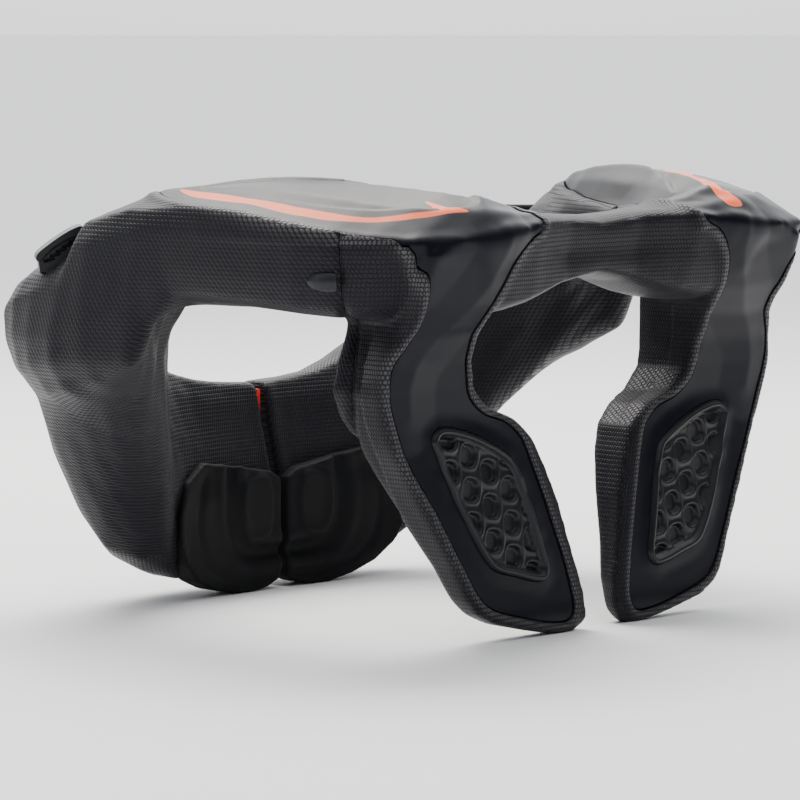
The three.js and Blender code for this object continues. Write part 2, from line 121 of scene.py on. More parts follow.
# Heights at which the face of the leg cover is read, and how far above and below each
FACE_HEIGHTS = np.arange(6, 120, 6.0)
FACE_REACH = 9

# Ridge down the front of the leg cover: across and height, as shares
RIDGE_LINE = [
    (46, 88), (47.4, 82.6), (48.8, 78.5), (52, 74.4), (55.3, 70.8), (59.5, 66.8), (62.9, 63.3),
    (64.6, 60.4), (65.9, 56), (65, 50),
]
RIDGE_HEIGHT = 1.7
RIDGE_WIDTH = 15
# Crease where the top plate rolls over into the leg cover
ROLL_LINE = [
    (71.5, 84.5), (65.5, 84.9), (55.6, 85.4), (47.2, 86), (44.9, 87.9), (37.9, 87.8), (31, 87.6),
]
ROLL_HEIGHT = 0.6
ROLL_WIDTH = 9
# Fold along the outside of the wing: angle round the neck and height share
WING_FOLD = [(128, 52.5), (114.4, 53.9), (106.3, 55.1), (101.9, 57), (97.4, 59.7), (93, 63.5)]
FOLD_DEPTH = 1.8
FOLD_WIDTH = 3.6
FOLD_RADIUS = 128
FOLD_FIRST_ANGLE = 97
FOLD_LAST_ANGLE = 128
# The swelling above the fold starts at these heights, by angle
SWELL_ANGLES = (93, 102, 128)
SWELL_HEIGHTS = (109, 98, 90.3)
SWELL_LIFT = 1.0
SWELL_AWAY = 8
SWELL_WIDTH = 6
# Sunk field of the top plate in plan, as shares of the radius
FIELD_OUTLINE = [
    (82, 0), (76, 4), (69, -7), (65, -20), (58, -31), (51, -42), (45.5, -48.5), (44, -55),
    (47, -63), (54, -64.5), (64, -61), (74, -52), (80.5, -40), (84, -24), (84.5, -8),
]
FIELD_DEPTH = 1.1
FIELD_EDGE = 1.6

# Rolled edge of the textile round the covers, the dips at its seams, and the band of painted highlight
# along the rolled edge
EDGE_HEIGHT = 0.95
EDGE_AWAY = 2.6
EDGE_WIDTH = 2.3
SEAM_DEPTH = 1.5
SEAM_WIDTH = 1.4
SPLIT_DEPTH = 1.1
SPLIT_WIDTH = 2.0
# Band of painted highlight on the rolled edge: how far out from the cover it lies, and its spread
HIGHLIGHT_AWAY = 1.9
HIGHLIGHT_SPREAD = 1.3

# Stripe along the outside of the plate, and its short branch at the front tip
STRIPE_OUTLINE = [
    (84, 3), (88, -5), (89, -16), (88, -27), (87.5, -35.5), (85.5, -43), (83.5, -48), (79, -54),
    (71, -61.5), (62, -65), (54, -66.5), (60.5, -64), (68, -61), (73.5, -57), (78.5, -51.5),
    (81, -46), (83.5, -38), (85, -29.5), (86, -22.5), (86, -15), (85.5, -5),
]
BRANCH_OUTLINE = [(59.5, -57), (60.5, -60), (61, -64), (54, -66.5), (56.5, -63.5), (57.8, -60.5)]
# The stripe of the other side, which runs over the crest
CREST_STRIPE_OUTLINE = [
    (42.5, -69), (43.5, -64), (45.5, -59.5), (50, -54), (54, -47), (58, -38), (64, -30), (74, -22),
    (80, -12), (84, 0), (87, -3), (84, -18), (76, -30), (66, -38), (61, -44), (57, -50), (53, -57),
    (50, -61.6), (48, -66), (48, -69.5),
]
STRIPES = {"left": [CREST_STRIPE_OUTLINE], "right": [STRIPE_OUTLINE, BRANCH_OUTLINE]}
NOT_ON_TOP = -50

# Raised square of the back pad, the channel round it, and the line of the outer step
PAD_SQUARE = [(6.5, 13.5), (15.5, 12.5), (17.5, 17), (17, 25), (14.5, 26.5), (6.5, 26.5)]
CHANNEL_LINE = [(20.5, 27.5), (21.3, 19.5), (19.5, 13), (15.5, 9.5), (3.5, 8.8)]
STEP_LINE = [(31, 28), (34.5, 20), (33, 11), (26, 5.5), (14, 3.2), (2, 3.4)]
SQUARE_HEIGHT = 1.4
SQUARE_EDGE = 2.4
CHANNEL_DEPTH = 1.3
CHANNEL_WIDTH = 2.8
BANK_HEIGHT = 0.7
BANK_AWAY = 6.5
BANK_WIDTH = 2.6
STEP_DEPTH = 0.9
STEP_WIDTH = 2
LOWEST = 0.02

# Pockets of the insert: the first one, the steps to the next ones, and the form of each
POCKET_FIRST = np.array([0.448 * COLLAR_RADIUS, 0.332 * BRACE_HEIGHT])
POCKET_ALONG = POCKET_PITCH * np.array([-0.88, -0.6])
POCKET_DOWN = POCKET_PITCH * np.array([0.06, -1.1])
POCKET_ACROSS_AXIS = np.array([0.9848, 0.1736])
POCKET_UP_AXIS = np.array([-0.1736, 0.9848])
POCKET_STRETCH = 1.04
POCKET_ROUNDNESS = 2.6
POCKET_EDGE = 0.9
LIP_HEIGHT = 0.35
LIP_AWAY = 0.6
LIP_WIDTH = 0.7
# Face of the insert: its rim's edges, and the sunk floor inside the rim
RIM_EDGE = 0.9
RIM_FALL_START = 0.6
RIM_FALL = 1.5
BED_DEPTH = 0.5
BED_EDGE = 1.6
POCKETS_START = 1.0
POCKETS_FADE = 1.2
# Fine mesh of the insert: steps along its outline, rings inside it, and a grid in the middle
INSERT_STEPS = 14
INSERT_RINGS = (0, 0.25, 0.6, 1.0, 1.6, 2.1, 2.6, 3.1, 3.7)
GRID_PITCH = 0.55
GRID_MARGIN = 3.9
ON_EDGE = 1e-4

# Clasp seen from the front: along (from the outside inwards) and up
CLASP_PLATE = [
    (-9.8, 3), (-9.4, 5), (-4, 8.8), (2, 12), (6, 13.6), (8.8, 14), (9.6, 12.6), (9.2, 10.6),
    (6.5, 10.6), (2, 9.2), (-4, 6.2), (-8.8, 2.4),
]
CLASP_BODY = [(-9, -2), (9.2, -2), (9.2, 12), (6.5, 11.4), (2, 10), (-4, 7), (-9, 3.2)]
CLASP_LIP = [(-6.4, -1.5), (-5.4, -2.5), (9, 4.2), (9, 5.8)]
# Where each of these forms starts and ends across the clasp
BODY_SIDES = (-8, 7.2)
PLATE_SIDES = (-8.6, 8.6)
LIP_SIDES = (-7, 8.4)
# Slots between the ribs
SLOT_COUNT = 6
SLOT_FIRST = np.array([-6.8, 1.8])
SLOT_STEP = np.array([2.5, 1.5])
SLOT_OUTLINE = np.array([(0, 0), (4.2, 0.7), (4.2, 1.7), (0, 1)])
SLOT_SIDES = (5.2, 12)
# The clasp's place on the wing
CLASP_ANGLE = 116.0
CLASP_TURN = 130.0
CLASP_TILT = 6.0
CLASP_REACH = 0.97 * COLLAR_RADIUS
CLASP_HEIGHT = 0.798 * BRACE_HEIGHT

# Colours of the textile and of the cover, with painted shade in the scale grooves, a painted highlight
# on the rolled edge and a painted highlight along the cover's sharp edges
# Painted shade: the darker colour of the grooves between the scales
SCALE_GROOVE_SHADE = (0.002, 0.002, 0.0035, 1)
SCALE_TOP = (0.0075, 0.0074, 0.013, 1)
WORN_TEXTILE = (0.02, 0.0195, 0.026, 1)
# Painted highlight: the paler colour of the scale tops on the rolled edge
WELT_HIGHLIGHT = (0.1, 0.095, 0.1, 1)
COVER_DARK = (0.0022, 0.003, 0.0065, 1)
COVER_LIGHT = (0.0034, 0.0044, 0.0085, 1)
FIELD_COLOR = (0.006, 0.006, 0.007, 1)
STRIPE_COLOR = (1.0, 0.13, 0.01, 1)
# Painted highlight for the cover's sharp edges
COVER_EDGE_HIGHLIGHT = (0.03, 0.031, 0.036, 1)
# Scales of the textile: pitch along and up a row, in metres, and the slant of a scale
RING_SCALES = (0.0019, 0.0016, 0.55)
LEG_SCALES = (0.0013, 0.0017, 0.0)
LEG_TOP_SCALES = (0.0017, 0.0015, 0.3)
RING_RADIUS = 0.13
# Plain materials: dark and light colour (the light one, made paler, also gives the painted highlight on
# the edges), roughness, scale and depth of the grain, specular level
PLAIN_LOOKS = {
    "insert_rubber": ((0.005, 0.0055, 0.0075), (0.008, 0.0085, 0.011), 0.38, 2400, 0.00006, 0.3),
    "cushion_fabric": ((0.0012, 0.0014, 0.0024), (0.0024, 0.0028, 0.0042), 0.7, 3000, 0.00015, 0.2),
    "buckle_plastic": ((0.007, 0.0075, 0.01), (0.011, 0.0115, 0.015), 0.4, 3000, 0.00004, 0.3),
    "link_elastic": ((0.4, 0.006, 0.003), (0.5, 0.01, 0.005), 0.5, 1800, 0.00008, 0.3),
}

# Studio: half the floor's side, and the light that comes from all round, ahead and the ceiling
FLOOR_HALF = 40.0
FLOOR_COLORS = ((0.86, 0.86, 0.86, 1), (0.88, 0.88, 0.88, 1))
WORLD_COLOR = (0.97, 0.98, 1, 1)
AHEAD = (0.5763, 0.5374, 0.6157)
PALE = 0.2
BRIGHT = 3.2
CEILING = 1.3
# Lights: place, the point that each shines at, size, power and colour
LIGHTS = {
    "top": ((0.35, 0.6, 1.2), (0, 0, 0.1), (1.0, 0.8), 30, (1, 0.96, 0.9)),
    "left": ((-1.5, 0.3, 0.8), (0, 0, 0.08), (0.5, 1.2), 4, (0.93, 0.95, 1)),
}
CAMERA_AZIMUTH = -47
CAMERA_ELEVATION = 5
CAMERA_DISTANCE = 1.7369
CAMERA_TARGET = (0, 0.0082, 0.0802)
LENS = 198
SENSOR = 36


# Arrays of points and faces

def get_points(mesh):
    """The points of a mesh, in millimetres round the neck."""
    points = np.zeros(len(mesh.vertices) * 3)
    mesh.vertices.foreach_get("co", points)
    points = points.reshape(-1, 3) * 1000
    points[:, 1] -= NECK_Y
    return points


def set_points(mesh, points):
    """Writes points that are in millimetres round the neck into a mesh."""
    placed = points + np.array([0, NECK_Y, 0])
    mesh.vertices.foreach_set("co", (placed / 1000).astype(np.float32).ravel())
    mesh.update()


def get_normals(mesh):
    normals = np.zeros(len(mesh.vertices) * 3, np.float32)
    mesh.vertex_normals.foreach_get("vector", normals)
    return normals.reshape(-1, 3)


def get_edges(mesh):
    edges = np.zeros(len(mesh.edges) * 2, np.int32)
    mesh.edges.foreach_get("vertices", edges)
    return edges.reshape(-1, 2)


def mesh_arrays(obj):
    """The points and the faces of an object's mesh."""
    return get_points(obj.data), [tuple(p.vertices) for p in obj.data.polygons]


def join_arrays(parts):
    """The points and faces of several meshes as those of one."""
    points, faces, offset = [], [], 0
    for part_points, part_faces in parts:
        points.append(part_points)
        faces += [tuple(i + offset for i in face) for face in part_faces]
        offset += len(part_points)
    return np.concatenate(points), faces


def mark(obj, name, values):
    """Keeps a number for each point, which a material reads."""
    attribute = obj.data.attributes.new(name, "FLOAT", "POINT")
    attribute.data.foreach_set("value", np.asarray(values, np.float32))


# Objects

def new_object(name, points, faces):
    mesh = bpy.data.meshes.new(name)
    placed = (np.asarray(points, float) + np.array([0, NECK_Y, 0])) / 1000
    mesh.from_pydata([tuple(p) for p in placed], [], faces)
    mesh.update()
    obj = bpy.data.objects.new(name, mesh)
    bpy.context.scene.collection.objects.link(obj)
    return obj


def joined_copy(name, nodes):
    """One object with copies of the meshes of several nodes."""
    return new_object(name, *join_arrays([mesh_arrays(frame["nodes"][node]) for node in nodes]))


def copy_object(obj, name):
    copy = obj.copy()
    copy.data = obj.data.copy()
    copy.name = copy.data.name = name
    bpy.context.scene.collection.objects.link(copy)
    return copy


def mirrored(obj, name):
    """A copy for the other side of the wearer."""
    copy = copy_object(obj, name)
    points = get_points(copy.data)
    points[:, 0] *= -1
    set_points(copy.data, points)
    copy.data.flip_normals()
    return copy


def sunk_copy(obj, name, depth):
    """A copy whose surface lies deeper."""
    copy = copy_object(obj, name)
    points, normals = get_points(copy.data), get_normals(copy.data)
    set_points(copy.data, points - normals * depth)
    return copy


def remove(*objects):
    for obj in objects:
        bpy.data.objects.remove(obj)


def as_triangles(obj):
    """Turns all faces outwards and splits them into triangles."""
    work = bmesh.new()
    work.from_mesh(obj.data)
    bmesh.ops.recalc_face_normals(work, faces=work.faces)
    bmesh.ops.triangulate(work, faces=work.faces)
    work.to_mesh(obj.data)
    work.free()
    return obj


def hull_of(points, name):
    """The convex form round a cloud of points."""
    hull = new_object(name, points, [])
    work = bmesh.new()
    work.from_mesh(hull.data)
    bmesh.ops.convex_hull(work, input=work.verts)
    loose = [v for v in work.verts if not v.link_faces]
    bmesh.ops.delete(work, geom=loose, context="VERTS")
    work.to_mesh(hull.data)
    work.free()
    return hull


# Modifiers and smoothing

def apply_modifiers(obj):
    bpy.context.view_layer.update()
    evaluated = obj.evaluated_get(bpy.context.evaluated_depsgraph_get())
    mesh = bpy.data.meshes.new_from_object(evaluated)
    obj.modifiers.clear()
    obj.data = mesh
    return obj


def remesh(obj, size):
    modifier = obj.modifiers.new("remesh", "REMESH")
    modifier.mode = "VOXEL"
    modifier.voxel_size = size / 1000
    modifier.adaptivity = 0
    return apply_modifiers(obj)


def boolean(obj, other, operation):
    """Joins or cuts an object with another, which is used up."""
    modifier = obj.modifiers.new("cut", "BOOLEAN")
    modifier.operation = operation
    modifier.solver = "MANIFOLD"
    modifier.object = other
    apply_modifiers(obj)
    remove(other)
    return obj


def cut(obj, *others):
    for other in others:
        boolean(obj, other, "DIFFERENCE")
    return obj


def relax(points, edges, rounds):
    """Smooths points along their edges without shrinking the form."""
    count = len(points)
    a, b = edges[:, 0], edges[:, 1]
    degree = np.maximum(np.bincount(edges.ravel(), minlength=count), 1)[:, None]
    points = points.copy()
    for _ in range(rounds):
        for factor in SMOOTHING_STEPS:
            total = np.stack([
                np.bincount(a, points[b, k], count) + np.bincount(b, points[a, k], count)
                for k in range(3)
            ], 1)
            points += factor * (total / degree - points)
    return points


def soften(obj, size, rounds):
    """Meshes an object finely and smooths it."""
    remesh(obj, size)
    set_points(obj.data, relax(get_points(obj.data), get_edges(obj.data), rounds))
    return obj


# Outlines

def line_mm(rows, a, b):
    """Rows of shares of two lengths, in millimetres."""
    return np.array(rows, float) * np.array([a, b]) / 100


def rounded(outline, a, b, steps=6):
    """A smooth closed loop through an outline of shares of two lengths."""
    p = line_mm(outline, a, b)
    loops = []
    t = np.linspace(0, 1, steps, endpoint=False)[:, None]
    for i in range(len(p)):
        p0, p1, p2, p3 = p[i - 1], p[i], p[(i + 1) % len(p)], p[(i + 2) % len(p)]
        d0, d1, d2 = (max(np.linalg.norm(v), 1e-6) ** 0.5 for v in (p1 - p0, p2 - p1, p3 - p2))
        m1 = p2 - p1 + d1 * ((p1 - p0) / d0 - (p2 - p0) / (d0 + d1))
        m2 = p2 - p1 + d1 * ((p3 - p2) / d2 - (p3 - p1) / (d1 + d2))
        loops.append((2 * t**3 - 3 * t**2 + 1) * p1 + (t**3 - 2 * t**2 + t) * m1
                     + (3 * t**2 - 2 * t**3) * p2 + (t**3 - t**2) * m2)
    return np.concatenate(loops)


def smooth_loop(rows, a, b):
    """A loop that is rounded as it is drawn, in shares, and then brought to size."""
    return line_mm(rounded(rows, 100, 100), a, b)


def there_and_back(rows):
    """A smooth line through rows of shares, as a loop that runs back along itself."""
    return smooth_loop(rows + rows[-2:0:-1], COLLAR_RADIUS, BRACE_HEIGHT)


def double_area(loop):
    """Twice the area of a flat loop, below zero where it runs clockwise."""
    after = np.roll(loop, -1, 0)
    return np.sum(loop[:, 0] * after[:, 1] - after[:, 0] * loop[:, 1])


def grown(loop, distance):
    """A closed flat loop moved outwards by a distance, or inwards where it is negative."""
    tangent = np.roll(loop, -1, 0) - np.roll(loop, 1, 0)
    normal = np.stack([tangent[:, 1], -tangent[:, 0]], 1) * np.sign(double_area(loop))
    return loop + distance * normal / np.linalg.norm(normal, axis=1)[:, None]


def distance_to_edge(points, a, b):
    """How far flat points lie from the straight edge between two corners."""
    edge = b - a
    t = np.clip((points - a) @ edge / max(edge @ edge, 1e-9), 0, 1)
    return np.linalg.norm(points - a - t[:, None] * edge, axis=1)


def distance_to_line(line, points):
    """How far flat points lie from an open line."""
    nearest = np.full(len(points), 1e9)
    for a, b in zip(line[:-1], line[1:]):
        nearest = np.minimum(nearest, distance_to_edge(points, a, b))
    return nearest


def distance_inside(loop, points):
    """How far flat points lie inside a closed loop, and below zero outside it."""
    nearest = np.full(len(points), 1e9)
    inside = np.zeros(len(points), bool)
    for a, b in zip(loop, np.roll(loop, -1, 0)):
        nearest = np.minimum(nearest, distance_to_edge(points, a, b))
        edge = b - a
        crosses = (a[1] > points[:, 1]) != (b[1] > points[:, 1])
        if edge[1]:
            inside ^= crosses & (points[:, 0] < edge[0] * (points[:, 1] - a[1]) / edge[1] + a[0])
    return np.where(inside, nearest, -nearest)


# Blocks that cut and fill

def prism(name, loop, low, high, place):
    """A closed solid between two copies of a loop."""
    if double_area(loop) < 0:
        loop = loop[::-1]
    count = len(loop)
    points = [place(p, low) for p in loop] + [place(p, high) for p in loop]
    faces = [tuple(range(count)), tuple(range(2 * count - 1, count - 1, -1))]
    faces += [(i, i + count, (i + 1) % count + count, (i + 1) % count) for i in range(count)]
    return as_triangles(new_object(name, points, faces))


def across_face(p, y):
    return (p[0], y, p[1])


def in_plan(p, z):
    return (p[0], p[1], z)


COVER_LOOP = rounded(COVER_OUTLINE, COLLAR_RADIUS, BRACE_HEIGHT)
PLATE_LOOP = rounded(PLATE_OUTLINE, COLLAR_RADIUS, COLLAR_RADIUS)
INSERT_LOOP = rounded(INSERT_OUTLINE, COLLAR_RADIUS, BRACE_HEIGHT)


def leg_face_line():
    """How far forward the face of the leg cover lies, by height, read from the cover itself."""
    points = get_points(frame["nodes"]["shell_left"].data)
    front = []
    for z in FACE_HEIGHTS:
        near = points[(abs(points[:, 2] - z) < FACE_REACH) & (points[:, 1] < 0)]
        front.append(near[:, 1].min())
    return np.array(front)


LEG_FRONTS = leg_face_line()


def face_y(z):
    """Where the face of the leg lies at a height."""
    return np.interp(z, FACE_HEIGHTS, LEG_FRONTS)


def insert_block(name, grow, front, back, side=1):
    """A block of the insert's outline that follows the face of the leg, between two depths behind it."""
    loop = grown(INSERT_LOOP, grow) * np.array([side, 1])
    block = prism(name, loop, 0, 1, across_face)
    points = get_points(block.data)
    points[:, 1] = face_y(points[:, 2]) + np.where(points[:, 1] > 0.5, back, front)
    set_points(block.data, points)
    return block


def cover_block(grow):
    """The block that a cover on the wearer's left is cut out with, grown by a distance."""
    leg = prism("leg_block", grown(COVER_LOOP, grow), WELL_IN_FRONT, LEG_BACK, across_face)
    top = prism("top_block", grown(PLATE_LOOP, grow), PLATE_FLOOR - grow, WELL_ABOVE, in_plan)
    return boolean(leg, top, "UNION")


def wedge(from_angle, to_angle):
    """A slice of space between two angles round the neck, counted from the front."""
    angles = np.radians([from_angle, (from_angle + to_angle) / 2, to_angle])
    loop = np.array([(0, 0)] + [(FAR * math.sin(a), -FAR * math.cos(a)) for a in angles])
    return prism("wedge", loop, -FAR, FAR, in_plan)


def box_solid(low, high):
    loop = np.array([(low[0], low[1]), (high[0], low[1]), (high[0], high[1]), (low[0], high[1])])
    return prism("box", loop, low[2], high[2], in_plan)


# Relief that is worked into the form

def around(points):
    """Angle round the neck from the front, in degrees, and distance from its middle."""
    angle = np.degrees(np.arctan2(abs(points[:, 0]), -points[:, 1]))
    return angle, np.hypot(points[:, 0], points[:, 1])


def seen_from_front(points):
    return np.stack([abs(points[:, 0]), points[:, 2]], 1)


def seen_from_above(points):
    return np.stack([abs(points[:, 0]), points[:, 1]], 1)


def hump(distance, width):
    """A soft hump of height one, which fades with the distance."""
    return np.exp(-(distance / width) ** 2)


def step(distance, width):
    """A soft step from nought to one, over a width."""
    t = np.clip(distance / width, 0, 1)
    return t * t * (3 - 2 * t)


def cover_inside(points):
    """How far a point of the surface lies inside the edge of the cover, and below zero outside."""
    on_leg = distance_inside(COVER_LOOP, seen_from_front(points))
    on_top = distance_inside(PLATE_LOOP, seen_from_above(points))
    on_leg = np.where(points[:, 1] < LEG_BACK, on_leg, -99)
    on_top = np.where(points[:, 2] > PLATE_FLOOR, on_top, -99)
    return np.maximum(on_leg, on_top)


def front_relief(points):
    """The ridge down the leg cover, and the crease where the plate rolls over."""
    face = seen_from_front(points)
    in_front = points[:, 1] < LEG_BACK
    ridge = line_mm(RIDGE_LINE, COLLAR_RADIUS, BRACE_HEIGHT)
    lift = RIDGE_HEIGHT * np.clip(1 - distance_to_line(ridge, face) / RIDGE_WIDTH, 0, 1) * in_front
    roll = line_mm(ROLL_LINE, COLLAR_RADIUS, BRACE_HEIGHT)
    lift += ROLL_HEIGHT * np.clip(1 - distance_to_line(roll, face) / ROLL_WIDTH, 0, 1) * in_front
    return lift


def wing_relief(points):
    """The groove of the fold along the wing, and the swelling above it."""
    angle, radius = around(points)
    fold = np.array(WING_FOLD, float) * np.array([COLLAR_RADIUS * math.pi / 180, BRACE_HEIGHT / 100])
    wall = np.stack([angle * COLLAR_RADIUS * math.pi / 180, points[:, 2]], 1)
    away = distance_to_line(fold, wall)
    outside = step(radius - FOLD_RADIUS, 14) * step(angle - FOLD_FIRST_ANGLE, 7)
    fade = step(FOLD_LAST_ANGLE - angle, 14)
    above = step(points[:, 2] - np.interp(angle, SWELL_ANGLES, SWELL_HEIGHTS), 6)
    groove = FOLD_DEPTH * hump(away, FOLD_WIDTH) * outside * fade
    swelling = SWELL_LIFT * hump(away - SWELL_AWAY, SWELL_WIDTH) * outside * above * fade
    return groove, swelling


def shape_envelope(obj):
    """Ridge, folds and sunk field, common to the covers and the pads under them."""
    points, normals = get_points(obj.data), get_normals(obj.data)
    groove, swelling = wing_relief(points)
    lift = front_relief(points)
    lift -= groove
    lift += swelling
    loop = smooth_loop(FIELD_OUTLINE, COLLAR_RADIUS, COLLAR_RADIUS)
    field = distance_inside(loop, seen_from_above(points))
    on_top = (points[:, 2] > PLATE_FLOOR) & (normals[:, 2] > 0.3)
    lift -= FIELD_DEPTH * step(field + 0.5, FIELD_EDGE) * on_top
    set_points(obj.data, points + normals * lift[:, None])


def shape_pads(obj):
    """The rolled edge round the covers, the dips at the seams of the textile, and the band of painted
    highlight on the rolled edge.
    """
    points, normals = get_points(obj.data), get_normals(obj.data)
    angle, radius = around(points)
    outside = -cover_inside(points)
    lift = EDGE_HEIGHT * hump(outside - EDGE_AWAY, EDGE_WIDTH)
    seam = abs(angle - PAD_CUT_ANGLE) * math.pi / 180 * radius
    lift -= SEAM_DEPTH * hump(seam, SEAM_WIDTH) * (outside > 1.5)
    split = abs(points[:, 0]) - REAR_SPLIT / 2
    lift -= SPLIT_DEPTH * hump(split, SPLIT_WIDTH) * (points[:, 1] > 0)
    set_points(obj.data, points + normals * lift[:, None])
    # Marks the band where a painted highlight goes on the rolled edge
    mark(obj, "rim", hump(outside - HIGHLIGHT_AWAY, HIGHLIGHT_SPREAD))


# The body and its covers

def make_envelope():
    """The outer form of the padded body with its covers on, smooth all over."""
    nodes = ["front_pad", "side_pad_left", "side_pad_right", "shell_left", "shell_right"]
    body = joined_copy("envelope", nodes)
    plugs = [insert_block("plug", PLUG_MARGIN, PLUG_FRONT, PLUG_BACK, side) for side in (1, -1)]
    arrays = join_arrays([mesh_arrays(obj) for obj in (body, *plugs)])
    remove(body, *plugs)
    whole = soften(new_object("envelope", *arrays), *BODY_MESH)
    shape_envelope(whole)
    return whole


def make_shell(envelope):
    """The thin cover of the left side, with a window for the insert."""
    shell = copy_object(envelope, "cover_left")
    boolean(shell, cover_block(0), "INTERSECT")
    inner = sunk_copy(envelope, "inner", SHELL_THICKNESS)
    return cut(shell, inner, insert_block("window", WINDOW_MARGIN, WINDOW_FRONT, WINDOW_BACK))


def make_pads(envelope):
    """The textile bodies: the front with both legs, and the left side."""
    body = copy_object(envelope, "body")
    shape_pads(body)
    recess = cover_block(RECESS_MARGIN)
    cut(recess, sunk_copy(envelope, "inner", SHELL_THICKNESS + SHELL_GAP))
    other = mirrored(recess, "recess_right")
    bed = insert_block("bed", BED_MARGIN, WINDOW_FRONT, INSERT_DEPTH + BED_GAP)
    other_bed = mirrored(bed, "bed_right")
    cut(body, recess, other, bed, other_bed)
    front = copy_object(body, "front_body")
    boolean(front, wedge(-PAD_CUT_ANGLE, PAD_CUT_ANGLE), "INTERSECT")
    boolean(body, wedge(PAD_CUT_ANGLE + SEAM_GAP_ANGLE, PAST_BACK_ANGLE), "INTERSECT")
    cut(body, box_solid(OTHER_HALF_LOW, OTHER_HALF_HIGH))
    body.name = "side_body_left"
    return front, body


# Small pieces

def make_back_pad():
    """The black pad inside a rear half: a channel round a raised square, on a full backing."""
    pad = joined_copy("back_cushion_left", ["back_pad_left"])
    backing = hull_of(get_points(pad.data) + np.array([0, CUSHION_BACKING, 0]), "backing")
    arrays = join_arrays([mesh_arrays(pad), mesh_arrays(backing)])
    remove(pad, backing)
    pad = soften(new_object("back_cushion_left", *arrays), *CUSHION_MESH)
    points, normals = get_points(pad.data), get_normals(pad.data)
    face = np.stack([points[:, 0], points[:, 2]], 1)
    front = np.clip(-normals[:, 1], 0, 1) ** 0.5
    square = distance_inside(smooth_loop(PAD_SQUARE, COLLAR_RADIUS, BRACE_HEIGHT), face)
    channel = distance_to_line(there_and_back(CHANNEL_LINE), face)
    outer = distance_to_line(there_and_back(STEP_LINE), face)
    lift = SQUARE_HEIGHT * step(square + SQUARE_EDGE / 2, SQUARE_EDGE)
    lift -= CHANNEL_DEPTH * hump(channel, CHANNEL_WIDTH)
    lift += BANK_HEIGHT * hump(channel - BANK_AWAY, BANK_WIDTH)
    lift -= STEP_DEPTH * hump(outer, STEP_WIDTH)
    points = points + normals * (front * lift)[:, None]
    points[:, 2] = np.maximum(points[:, 2], LOWEST)
    set_points(pad.data, points)
    return pad


def inside_pockets(points):
    """How far each point lies inside the nearest of the rounded pockets, and below zero on the web."""
    reach = (POCKET_PITCH - POCKET_WEB) / 2
    inside = np.full(len(points), -9.0)
    for i in range(-4, 6):
        for j in range(-5, 6):
            offset = points - (POCKET_FIRST + i * POCKET_ALONG + j * POCKET_DOWN)
            across = abs(offset @ POCKET_ACROSS_AXIS / (POCKET_STRETCH * reach))
            height = abs(offset @ POCKET_UP_AXIS / reach)
            size = (across ** POCKET_ROUNDNESS + height ** POCKET_ROUNDNESS) ** (1 / POCKET_ROUNDNESS)
            inside = np.maximum(inside, (1 - size) * reach)
    return inside


def insert_relief(points, inside):
    """How far the face of the insert stands out of the cover."""
    past_rim = inside - RIM_WIDTH
    rim = RIM_HEIGHT * step(inside, RIM_EDGE) * (1 - step(past_rim + RIM_FALL_START, RIM_FALL))
    floor = -BED_DEPTH * step(past_rim + RIM_FALL_START, BED_EDGE)
    pocket = inside_pockets(points)
    relief = LIP_HEIGHT * hump(pocket + LIP_AWAY, LIP_WIDTH) - POCKET_DEPTH * step(pocket, POCKET_EDGE)
    return rim + floor + relief * step(past_rim - POCKETS_START, POCKETS_FADE)


def flat_mesh(loop):
    """A fine flat mesh inside a loop: rings along its edge and a grid in its middle."""
    rings = [grown(loop, -distance) for distance in INSERT_RINGS]
    low, high = loop.min(0), loop.max(0)
    columns = np.arange(low[0], high[0], GRID_PITCH)
    rows = np.arange(low[1], high[1], GRID_PITCH)
    grid = np.stack(np.meshgrid(columns, rows), -1).reshape(-1, 2)
    grid = grid[distance_inside(loop, grid) > GRID_MARGIN]
    flat = [Vector(p) for p in np.concatenate([*rings, grid])]
    count = len(loop)
    border = [(i, (i + 1) % count) for i in range(count)]
    points, _, faces, *_ = delaunay_2d_cdt(flat, border, [], 1, 1e-5)
    return np.array([tuple(p) for p in points]), [tuple(face) for face in faces]


def make_insert():
    """The rubber insert: a rim round a sunk field of pockets."""
    loop = rounded(INSERT_OUTLINE, COLLAR_RADIUS, BRACE_HEIGHT, INSERT_STEPS)
    flat, faces = flat_mesh(loop)
    inside = np.maximum(distance_inside(loop, flat), 0)
    face = face_y(flat[:, 1])
    front = np.stack([flat[:, 0], face - insert_relief(flat, inside), flat[:, 1]], 1)
    edge = np.where(inside < ON_EDGE)[0]
    order = edge[np.argsort([np.argmin(np.linalg.norm(loop - flat[i], axis=1)) for i in edge])]
    back = np.stack([flat[order, 0], face[order] + INSERT_DEPTH, flat[order, 1]], 1)
    first, count = len(front), len(order)
    for i in range(count):
        after = (i + 1) % count
        faces.append((order[i], order[after], first + after, first + i))
    faces.append(tuple(first + i for i in range(count - 1, -1, -1)))
    return as_triangles(new_object("rubber_insert_left", np.concatenate([front, back]), faces))


def on_clasp(p, across):
    """From the clasp's own along, across and up to the place on the wing."""
    place, turn, tilt = (math.radians(a) for a in (CLASP_ANGLE, CLASP_TURN, CLASP_TILT))
    along, up = p
    level = along * math.cos(tilt) - up * math.sin(tilt)
    height = along * math.sin(tilt) + up * math.cos(tilt)
    return (
        CLASP_REACH * math.sin(place) - level * math.sin(turn) - across * math.cos(turn),
        -CLASP_REACH * math.cos(place) + level * math.cos(turn) - across * math.sin(turn),
        CLASP_HEIGHT + height,
    )


